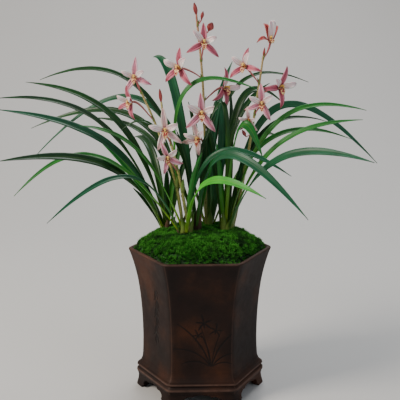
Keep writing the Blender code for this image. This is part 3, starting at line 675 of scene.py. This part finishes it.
def makeStalk(name):
    points = stalkPlan[name]
    low, high = points[0][2], points[-1][2]
    stalk, pedicels, bracts, buds = (bmesh.new() for _ in range(4))
    joints = [flower[2] for flower in flowerPlan if flower[1] == name]
    joints += [b[1] for b in sideBuds if b[0] == name]
    count = int((high - low) / 3)
    path, radii = [], []
    for i in range(count + 1):
        z = low + (high - low) * i / count
        knuckle = sum(exp(-((z - j) / 2.2) ** 2) for j in joints)
        path.append(stalkPoint(points, z))
        radii.append((2.3 - 0.9 * i / count) * mm * (1 + 0.22 * min(knuckle, 1)))
    growTube(stalk, path, radii, sides=14)
    limbs = [(f[2], Vector(f[3]) * mm, flowerAxes(f[4], f[5])[0], None) for f in flowerPlan if f[1] == name]
    limbs += [(b[1], Vector(b[2]) * mm, None, b[3:]) for b in sideBuds if b[0] == name]
    for height, end, ahead, bud in limbs:
        if bud is None:
            end = end - ahead * (hubHalf * 0.6)
        start = stalkPoint(points, height)
        away = end - start
        out = Vector((away.x, away.y, 0)).normalized()
        lead = (out + skyward * 0.9).normalized()
        if bud is None:
            growTube(pedicels, bendPath(start, lead, end, ahead, 18),
                     [k * mm for k in (1.05, 0.95, 1.05, 1.3, 1.5, 1.6, 1.3)], sides=12, ribs=0.08)
        else:
            axis = (away.normalized() + skyward * 0.8).normalized()
            neck = end - axis * bud[0] * mm
            growTube(pedicels, bendPath(start, lead, neck, axis, 10),
                     [k * mm for k in (0.8, 0.8, 1.0)], sides=12)
            growBud(buds, neck, axis, bud[0] * mm, bud[1] * mm)
        growBract(bracts, start - skyward * 1.5 * mm + out * 0.9 * mm, out, 11 * mm, 4.6 * mm)
    tip, fat = Vector(topBuds[name][0]) * mm, topBuds[name][1] * mm
    foot = stalkPoint(points, high) - skyward * 1 * mm
    growBud(buds, foot, (tip - foot).normalized(), (tip - foot).length, fat)
    # long sheathing scales lower down
    for share, turn in ((0.1, 0.4), (0.3, 2.6), (0.52, 4.9)):
        foot = stalkPoint(points, low + (high - low) * share * 0.62)
        out = compass(turn)[0]
        growBract(bracts, foot + out * 1.2 * mm, out, 24 * mm, 6.4 * mm)
    finishPiece("stalk_" + name[6:], stalk, stalkSkin, (name,), turnOut=True)
    finishPiece("pedicels_" + name[6:], pedicels, pedicelSkin, turnOut=True)
    finishPiece("bracts_" + name[6:], bracts, greenSheath, wall=0.4 * mm)
    finishPiece("buds_" + name[6:], buds, budSkin, turnOut=True)


for name in stalkPlan:
    makeStalk(name)
print("stalks and buds grown")

flower = {"sepal": (27.5, 9.0), "petal": (19, 9.0), "lip": (13, 9.0), "thickness": 0.6 * mm}


def growTepal(bm, middle, axes, clock, length, width, reach, curl, roundness, seed):
    # one flower leaf; roundness moves its widest part out and blunts the tip
    ahead, right, lift = axes
    c = radians(clock)
    out = right * cos(c) + lift * sin(c)
    wide = lift * cos(c) - right * sin(c)

    def place(u, t):
        q = (u - 0.5) * 2
        swell = sin(pi * min(1.0, (0.12 + 0.88 * t) ** (0.72 + 0.5 * roundness)))
        half = width * 0.5 * max(swell, 0.0) ** (0.85 - 0.25 * roundness) + 0.15 * mm * (1 - t)
        forward = reach * sin(t * pi * 0.6) - curl * t ** 3
        cup = 0.34 * half * (q * q - 0.35) * (1 - 0.6 * t) + 0.10 * half * cos(q * 3 * pi)
        ripple = 0.5 * mm * noise.noise(Vector((q * 1.4, t * 3.2, seed))) * (0.3 + t)
        return (middle + out * (hubRadius * 0.5 + length * t) + ahead * (forward + cup + ripple)
                + wide * (half * q))

    shapeGrid(bm, 12, 22, place)


def growLip(bm, middle, axes, length, width, seed):
    # tongue that runs out under the column, its side lobes up and its ruffled end rolled under
    ahead, right, lift = axes

    def place(u, t):
        q = (u - 0.5) * 2
        lobes = 0.62 + 0.38 * sin(pi * min(1, t * 1.9)) if t < 0.53 else 0.0
        tongue = 0
        if t > 0.45:
            tongue = 0.78 * sin(pi * min(1.0, 0.25 + 0.75 * (t - 0.45) / 0.55)) ** 0.6
        half = width * 0.5 * max(lobes * (1 if t < 0.45 else (0.53 - t) / 0.08), tongue, 0.06)
        roll = max(0.0, t - 0.5) / 0.5
        forward = length * (min(t, 0.62) + 0.16 * sin(roll * 2.2))
        drop = length * (0.05 + 0.62 * roll ** 1.7)
        rise = half * 0.75 * q * q * max(0.0, 1 - t / 0.6)
        ruffle = 0.7 * mm * sin(q * 7 + seed) * abs(q) * roll
        return (middle + ahead * (forward + ruffle) - lift * (hubRadius * 0.7 + drop - rise)
                + right * (half * q))

    shapeGrid(bm, 14, 22, place)


def growColumn(bm, middle, axes, size):
    # arched club over the lip with the anther cap on its end
    ahead, _, lift = axes
    path = [middle + ahead * (10.5 * mm * size * t) + lift * (2.6 * mm * size * sin(t * 2.2))
            for t in (i / 12 for i in range(13))]
    growTube(bm, path, [k * mm * size for k in (1.9, 1.5, 1.3, 1.4, 1.7, 2.0, 1.7)], sides=14, flat=0.85)
    cap = path[-1] - lift * 0.5 * mm
    growTube(bm, [cap - lift * 1.2 * mm + ahead * (0.3 * mm * i) for i in range(5)],
             [0.8 * mm, 1.3 * mm, 1.3 * mm, 0.8 * mm], sides=12)


def makeFlower(name, place, bearing, tilt, size, opening, clocks, tone):
    axes = flowerAxes(bearing, tilt)
    middle = Vector(place) * mm
    seed = sum(ord(c) for c in name) * 0.37
    chance = random.Random(name)
    cup = (1.15 - opening) * 26 * mm * size + 2 * mm
    long, wide = (k * mm * size for k in flower["sepal"])
    short, broad = (k * mm * size for k in flower["petal"])
    sepals, petals, lip, column = (bmesh.new() for _ in range(4))
    for i, (clock, curl) in enumerate(((clocks[0], 2), (clocks[3], 6), (clocks[4], 6))):
        growTepal(sepals, middle, axes, clock, long * chance.uniform(0.9, 1.04),
                  wide * chance.uniform(0.88, 1.06), cup + chance.uniform(-1, 3) * mm,
                  (curl + chance.uniform(-2, 4)) * mm, 0.3, seed + i)
    # the two petals lean in over the column like a hood
    forward = middle + axes[0] * 0.9 * mm
    for i, clock in enumerate(clocks[1:3]):
        growTepal(petals, forward, axes, clock, short * chance.uniform(0.85, 1.1),
                  broad * chance.uniform(0.85, 1.05), cup + chance.uniform(4, 9) * mm,
                  chance.uniform(-3, 2) * mm, 0.7, seed + 3 + i)
    growLip(lip, middle, axes, flower["lip"][0] * mm * size, flower["lip"][1] * mm * size, seed)
    growColumn(column, middle, axes, size)
    number = name[-2:]
    wall = flower["thickness"]
    finishPiece("sepals_" + number, sepals, sepalSkins[tone], (name,), wall)
    finishPiece("petals_" + number, petals, petalSkin, wall=wall)
    finishPiece("lip_" + number, lip, lipSkin, wall=wall)
    finishPiece("column_" + number, column, columnSkin, turnOut=True)


for plan in flowerPlan:
    makeFlower(plan[0], *plan[3:])
print("flowers opened:", len(flowerPlan))


# Moss: a bed with cushions in it, then thousands of little sprigs standing on it.

moss = {"rim": 209.5 * mm, "rise": 25 * mm, "power": 5.0, "edge": 97.4 * mm, "depth": 9 * mm,
        "tufts": 4600, "outermost": 0.993, "nearWall": 0.93}
cornerPower = 40


def hexReach(corner, angle):
    # distance out to the wall of a hexagon; its corners are eased by the power
    flat = corner * cos(radians(30))
    facing = [cos(angle - radians(30 + 60 * side)) for side in range(6)]
    return sum((c / flat) ** cornerPower for c in facing if c > 0) ** (-1 / cornerPower)


def hexPoint(r, angle, z):
    reach = hexReach(r * mm, angle)
    return Vector((reach * cos(angle), reach * sin(angle), z * mm))


def mossPoint(share, angle):
    # share 0 is the middle and 1 the wall of the pot
    roundness = max(0.0, 1 - share * share)
    reach = 0
    if share > 0:
        reach = (hexReach(moss["edge"] * share, angle) * (1 - roundness)
                 + moss["edge"] * share * 0.93 * roundness)
    x, y = reach * cos(angle), reach * sin(angle)
    height = moss["rim"] + moss["rise"] * (1 - share ** moss["power"])
    # cushions about 24 mm across, with finer lumps on them
    lump = (2.6 * mm * noise.noise(Vector((x, y, 0)) / (24 * mm))
            + 1.2 * mm * noise.noise(Vector((x, y, 9)) / (8 * mm)))
    return Vector((x, y, height + lump * (1 - share ** 6) - 1.4 * mm))


def makeMossMaterial():
    # living moss: fine matt fronds, yellow-green at the tips; darker low down and on the bed between the
    # sprigs, partly older growth and partly painted shade in the depth of the moss
    material, tree, shader = newMaterial("living moss", 0.8)
    along = readUv(tree, 1, 1)[1]
    frondDepthShade = addRamp(tree, along, (0.0, "#052008"), (0.45, "#176016"), (1.0, "#55b436"))
    patches = addNoise(tree, objectPlace(tree), 1 / (16 * mm), 4.0)
    tone = addRamp(tree, patches, (0.34, "#4c6e48"), (0.5, "#c8e0b8"), (0.66, "#fffff0"))
    mixed = mixTones(tree, "MULTIPLY", 1.0, frondDepthShade, tone)
    tree.links.new(mixed, shader.inputs["Base Color"])
    return material


mossSkin = makeMossMaterial()


def makeMossBed():
    bm = bmesh.new()

    def place(around, share):
        angle = tau * around
        if share > 0.92:
            p = mossPoint(1.0, angle)
            k = (share - 0.92) / 0.08
            return Vector((p.x * (1 - 0.03 * k), p.y * (1 - 0.03 * k), p.z - moss["depth"] * k))
        return mossPoint(share / 0.92, angle)

    verts = shapeGrid(bm, 180, 60, place)
    # the whole bed takes the dark low end of the moss ramp: painted shade under the sprigs, partly older
    # growth
    uvMap = bm.loops.layers.uv.verify()
    for face in bm.faces:
        for loop in face.loops:
            loop[uvMap].uv.y = 0.15
    sealGrid(bm, verts)
    bmesh.ops.holes_fill(bm, edges=[e for e in bm.edges if e.is_boundary], sides=0)
    finishPiece("moss_bed", bm, mossSkin, ("moss",), turnOut=True)


def makeSprigTemplates(chance):
    # each template is a small tuft: sprigs of pointed leaflets, a few dozen faces in all
    templates = []
    for _ in range(5):
        bm = bmesh.new()
        for _ in range(4):
            foot = Vector((chance.uniform(-1, 1), chance.uniform(-1, 1), 0)) * 1.5 * mm
            turn = chance.uniform(0, tau)
            tall = chance.uniform(3.6, 6.2) * mm
            for leaflet in range(5):
                a = turn + leaflet * tau / 5 + chance.uniform(-0.3, 0.3)
                out, side = compass(a)
                side = side * chance.uniform(0.45, 0.7) * mm
                reach = chance.uniform(1.2, 2.6) * mm

                def place(u, t):
                    narrow = 1 - t ** 1.5
                    return (foot + out * (reach * t ** 1.3) + skyward * (tall * t)
                            + side * ((u - 0.5) * 2 * narrow))

                shapeGrid(bm, 1, 2, place)
        templates.append(bakeMesh("tuft", bm))
    return templates


def makeSprigs():
    chance = random.Random(11)
    templates = makeSprigTemplates(chance)
    half = moss["tufts"] // 2
    for part in range(2):
        bm = bmesh.new()
        for _ in range(half):
            share = sqrt(chance.random()) * moss["outermost"]
            angle = chance.uniform(0, tau)
            p = mossPoint(share, angle)
            out = Vector((p.x, p.y, 0)).normalized() if share > 0.02 else Vector((1, 0, 0))
            lean = out * (0.15 + 0.75 * share ** 4)
            lean = lean + Vector((chance.uniform(-0.4, 0.4), chance.uniform(-0.4, 0.4), 1))
            if share > moss["nearWall"]:
                # close to the wall the tufts lean out less
                lean = lean - out * 0.45
            size = chance.uniform(0.75, 1.25) * (1.0 if share < moss["nearWall"] else 0.75)
            spin = Matrix.Rotation(chance.uniform(0, tau), 4, "Z")
            tilt = lean.to_track_quat("Z", "Y").to_matrix().to_4x4()
            tuft = templates[chance.randrange(5)].copy()
            tuft.transform(Matrix.Translation(p - skyward * 1.0 * mm) @ tilt @ spin @ Matrix.Scale(size, 4))
            bm.from_mesh(tuft)
            bpy.data.meshes.remove(tuft)
        finishPiece(f"moss_sprigs_{part + 1}", bm, mossSkin)
    for mesh in templates:
        bpy.data.meshes.remove(mesh)


makeMossBed()
makeSprigs()
print("moss laid:", moss["tufts"], "tufts")


# Pot: unglazed dark stoneware, burnished on the faces, rubbed lighter on its edges and with a painted
# highlight along the rim lip.

outerWall = ((94.0, 17.8), (93.9, 19), (94.6, 20.6), (95.8, 23), (95.6, 26), (94.0, 28.2), (92.6, 29.2),
             (93.6, 30.2), (95.2, 32), (94.6, 34.6), (92.0, 36), (89.2, 39), (87.2, 44), (86.2, 54),
             (85.6, 74), (85.8, 95), (86.8, 118), (88.9, 142), (92.2, 165), (96.0, 182), (100.6, 198),
             (104.0, 207.5), (105.0, 209.6), (104.4, 211.4), (102.6, 212))
innerWall = ((100.2, 212), (98.6, 211), (97.4, 208.4), (92.6, 196), (87.6, 180), (83.4, 162), (80.4, 140),
             (78.6, 116), (77.8, 90), (77.8, 60), (77.0, 38), (74.0, 31.5), (70.0, 30), (14.0, 30),
             (14.0, 22), (70.0, 22), (80.0, 21.5), (83.4, 18.4), (84.0, 17.8))
pot = {"grid": 0.8, "longStep": 9, "cut": 0.55 * mm, "carvedFrom": 44, "carvedTo": 200,
       "denseSides": (3, 4), "denseColumns": 118, "plainColumns": 18}


def wallRows():
    # rows stand close together up the outside, where the carving is; long steps of the outline
    # are rounded and short ones, the mouldings, stay crisp
    rows = []
    for i in range(len(outerWall) - 1):
        near = fourAround(outerWall, i)
        (r0, z0), (r1, z1) = near[1:3]
        gap = hypot(r1 - r0, z1 - z0)
        count = max(2, int(gap / pot["grid"]))
        for k in range(count):
            t = k / count
            r = curveValue(*near, t, 0) if gap > pot["longStep"] else r0 + (r1 - r0) * t
            rows.append((r, z0 + (z1 - z0) * t, True))
    rows.append((*outerWall[-1], False))
    rows += [(r, z, False) for r, z in innerWall]
    return rows


def wallColumns():
    # angles round the pot, side by side from the corner on +X
    angles = []
    for side in range(6):
        count = pot["denseColumns" if side in pot["denseSides"] else "plainColumns"]
        for k in range(count):
            s = -1 + 2 * k / count
            if side not in pot["denseSides"]:
                s = sin(s * pi / 2)
            angles.append((side, radians(60 * side + 30) + atan(s * tan(radians(30)))))
    return angles


def strokePath(x, z, heading, length, bend, width):
    # one carved blade: points along it, each with half the width of the cut
    points = []
    a = radians(heading)
    for i in range(13):
        t = i / 12
        points.append((x, z, 0.5 * width * (0.45 + 0.55 * sin(pi * (0.1 + 0.85 * t)))))
        a += radians(bend) / 12
        x += cos(a) * length / 12
        z += sin(a) * length / 12
    return points


def carvedFlower(x, z, size, turn):
    return [(x, z, turn + step, size * reach, bend, 2.2 * size / 9)
            for step, reach, bend in ((90, 1.25, 10), (28, 1.0, -25), (152, 1.0, 25), (215, 1.1, 20),
                                      (325, 1.1, -20), (270, 0.6, 0))]


# carved sprays: sideways place on the face, height, direction, length, bend, width of the cut
frontSpray = [(12, 58, 118, 62, 66, 2.0), (12, 58, 104, 80, 40, 2.3), (13, 58, 92, 50, 26, 1.8),
              (14, 58, 78, 66, -40, 2.2), (15, 58, 60, 42, -58, 2.0), (16, 58, 40, 30, -66, 1.8),
              (10, 58, 140, 40, 64, 1.8), (12, 60, 96, 62, 14, 1.2), (14, 60, 84, 52, -16, 1.2)]
frontSpray += carvedFlower(3, 122, 11, 8) + carvedFlower(20, 111, 9, -14) + carvedFlower(-5, 104, 8, 20)
leftSpray = [(9, 166, 258, 90, 14, 1.1)]
for level in range(6):
    z = 160 - level * 13.5
    x = 7.5 - level * 1.6 + (level % 2) * 3
    leftSpray += [(x, z, 238, 12, 18, 2.6), (x + 1, z, 264, 13, -8, 2.6), (x + 2, z, 296, 11, -22, 2.4)]
    leftSpray += [(x - 2, z + 3, 206, 8, 22, 2.0)] if level % 2 else [(x + 3, z + 3, 332, 8, -22, 2.0)]


def carve(strokes, s, z):
    depth = 0.0
    for points, (left, right, low, high) in strokes:
        if not (left <= s <= right and low <= z <= high):
            continue
        for (x0, z0, w0), (x1, z1, w1) in zip(points, points[1:]):
            dx, dz = x1 - x0, z1 - z0
            t = min(1.0, max(0.0, ((s - x0) * dx + (z - z0) * dz) / (dx * dx + dz * dz)))
            away = hypot(s - x0 - dx * t, z - z0 - dz * t)
            half = w0 + (w1 - w0) * t
            depth = max(depth, min(1.0, max(0.0, 1.4 - away / half)))
    return depth


def strokeBoxes(spray):
    out = []
    for stroke in spray:
        points = strokePath(*stroke)
        xs, zs = [p[0] for p in points], [p[1] for p in points]
        out.append((points, (min(xs) - 3, max(xs) + 3, min(zs) - 3, max(zs) + 3)))
    return out


def makeClayMaterial():
    # unglazed stoneware, wet-burnished: fine grit shows as pale specks, edges are rubbed lighter, and the
    # band along the rim lip is a painted highlight
    material, tree, shader = newMaterial("burnished dark stoneware", 0.6, {"Specular IOR Level": 0.2})
    place = objectPlace(tree)
    cloud = addNoise(tree, place, 1 / (55 * mm), 5.0)
    tone = addRamp(tree, cloud, (0.34, "#150a07"), (0.5, "#20110b"), (0.68, "#3a1f10"))
    grit = addNoise(tree, place, 1 / (0.9 * mm), 2.0)
    gritTone = addRamp(tree, grit, (0.32, 0.62), (0.5, 1.0), (0.7, 1.5))
    gritted = mixTones(tree, "MULTIPLY", 0.55, tone, gritTone)
    wearAndRimHighlight = addNode(tree, "Attribute", {"attribute_name": "wearAndRimHighlight"})
    scuff = addNoise(tree, place, 1 / (9 * mm), 4.0)
    wornAndRimLit = addNode(tree, "Math", {"operation": "MULTIPLY"}, {0: wearAndRimHighlight.outputs["Fac"], 1: scuff})
    rubbedAndRimLit = mixTones(tree, "MIX", wornAndRimLit.outputs["Value"], gritted, hexColour("#6f5449"))
    # the carved grooves are painted near black: painted shade in the cuts
    cut = addNode(tree, "Attribute", {"attribute_name": "carved"})
    carved = mixTones(tree, "MIX", cut.outputs["Fac"], rubbedAndRimLit, hexColour("#0d0807"))
    tree.links.new(carved, shader.inputs["Base Color"])
    gloss = addNode(tree, "MapRange", inputs={"Value": scuff, "To Min": 0.52, "To Max": 0.72})
    tree.links.new(gloss.outputs["Result"], shader.inputs["Roughness"])
    addBump(tree, shader, grit, 0.25, 0.12)
    return material


claySkin = makeClayMaterial()


def spotKey(p):
    return tuple(round(c, 7) for c in p)


def makePotBody():
    rows, columns = wallRows(), wallColumns()
    carvings = {3: strokeBoxes(leftSpray), 4: strokeBoxes(frontSpray)}
    marks = {}

    def place(around, down):
        i, j = int(round(around * len(columns))) % len(columns), int(round(down * (len(rows) - 1)))
        side, angle = columns[i]
        r, z, outside = rows[j]
        normal = radians(60 * side + 30)
        p = hexPoint(r, angle, z)
        # the drain hole is round
        if r < 30:
            p = Vector((r * mm * cos(angle), r * mm * sin(angle), z * mm))
        flat = r * mm * cos(radians(30))
        s = tan(angle - normal) * flat / mm
        # the depth of the cut moves the wall in and also paints shade into the groove through the carved
        # attribute
        depth = 0.0
        if outside and side in carvings and pot["carvedFrom"] < z < pot["carvedTo"]:
            depth = carve(carvings[side], s, z)
        p -= compass(normal)[0] * pot["cut"] * depth
        # lighter marks: the corners and mould beads are rubbed wear, the band on the rim lip is a painted
        # highlight
        corner = 0.35 * max(0.0, 1 - (r * 0.5 - abs(s)) / 1.6) if outside or z > 205 else 0.0
        lip = 0.7 * max(0.0, 1 - abs(z - 211.3) / 2.0) if z > 205 else 0.0
        bead = max(0.0, 1 - abs(z - 24.5) / 2.5, 1 - abs(z - 32.6) / 2) if outside and z < 36 else 0.0
        marks[spotKey(p)] = (min(1.0, max(corner, lip, bead)), depth)
        return p

    bm = bmesh.new()
    shapeGrid(bm, len(columns), len(rows) - 1, place)
    wearAndRimHighlightLayer = bm.verts.layers.float.new("wearAndRimHighlight")
    cutLayer = bm.verts.layers.float.new("carved")
    for v in bm.verts:
        v[wearAndRimHighlightLayer], v[cutLayer] = marks.get(spotKey(v.co), (0.0, 0.0))
    sealGrid(bm, bm.verts)
    # the two open rims, outside and in, are joined under the floor of the pot
    bmesh.ops.bridge_loops(bm, edges=[e for e in bm.edges if e.is_boundary])
    finishPiece("pot_body", bm, claySkin, ("pot",), turnOut=True)


# half of one foot arch: distance from the middle of the face, height
archHalf = ((31, -4), (31, 0), (30.2, 2), (28.6, 3.8), (25.5, 5.0), (26.8, 6.4), (26.9, 8.2),
            (25.9, 10.4), (23.8, 12.2), (20.8, 13.6), (17, 14.2), (14.6, 13.4), (13.2, 14.0),
            (12, 15.2), (9, 16.4), (0, 17.0))


def makeSkirt():
    profile = ((84.0, 17.6), (84.2, 12), (84.6, 6), (85.4, 0.6), (85.9, 0), (95.6, 0), (96.2, 0.6),
               (95.9, 2.2), (95.0, 5), (94.0, 9), (93.4, 13), (93.3, 17), (93.3, 18.6), (88, 18.6))
    angles = [radians(60 * side + a) for side in range(6)
              for a in (0, 1, 2.2, 3.6, 5.5, 8, 12, 18, 24, 30, 36, 42, 48, 52, 54.5, 56.4, 57.8, 59)]
    bm = bmesh.new()

    def place(around, down):
        angle = angles[int(round(around * len(angles))) % len(angles)]
        r, z = profile[int(round(down * len(profile))) % len(profile)]
        return hexPoint(r, angle, z)

    verts = shapeGrid(bm, len(angles), len(profile), place)
    sealGrid(bm, verts)
    skirt = finishPiece("pot_skirt", bm, claySkin, turnOut=True)
    outline = [(-u, z) for u, z in archHalf] + [(u, z) for u, z in reversed(archHalf[:-1])]
    for side in range(3):
        turn = radians(60 * side)
        cutter = bmesh.new()
        across, through = compass(turn)
        ring = [cutter.verts.new(across * u * mm - through * 130 * mm + skyward * z * mm) for u, z in outline]
        face = cutter.faces.new(ring)
        grown = bmesh.ops.extrude_face_region(cutter, geom=[face])
        for v in grown["geom"]:
            if isinstance(v, bmesh.types.BMVert):
                v.co += through * 260 * mm
        bmesh.ops.recalc_face_normals(cutter, faces=cutter.faces)
        arch = addObject("arch", bakeMesh("arch", cutter))
        cut = skirt.modifiers.new("arch", "BOOLEAN")
        cut.solver = "EXACT"
        cut.object = arch
    bpy.context.view_layer.update()
    shaped = bpy.data.meshes.new_from_object(skirt.evaluated_get(bpy.context.evaluated_depsgraph_get()))
    skirt.modifiers.clear()
    skirt.data = shaped
    for arch in [o for o in bpy.data.objects if o.name.startswith("arch")]:
        bpy.data.objects.remove(arch)
    ease = skirt.modifiers.new("ease", "BEVEL")
    ease.width = 0.7 * mm
    ease.segments = 2
    ease.limit_method = "ANGLE"
    ease.angle_limit = radians(40)
    skirt.data.set_sharp_from_angle(angle=radians(50))


makePotBody()
makeSkirt()
print("pot thrown")


def makePlainEarthMaterial(name, dark, light, grain, roughness):
    # crumbled bark, fired shard or root skin, all matt: flecks of two tones, grain millimetres apart
    material, tree, shader = newMaterial(name, roughness)
    lumps = addCells(tree, grain)
    tree.links.new(addRamp(tree, lumps, (0.1, light), (0.6, dark)), shader.inputs["Base Color"])
    addBump(tree, shader, lumps, 0.5, 0.6)
    return material


inner = {
    "potting_mix": makePlainEarthMaterial("bark and grit mix", "#1e150e", "#5b4433", 5, 0.95),
    "drain_crock": makePlainEarthMaterial("terracotta shard", "#7d3f26", "#a85c3a", 3, 0.85),
    "rhizome": makePlainEarthMaterial("rhizome skin", "#4a4a22", "#7c7a3e", 4, 0.6),
}
for node, material in inner.items():
    for holder in frame["nodes"][node].material_slots:
        holder.material = material
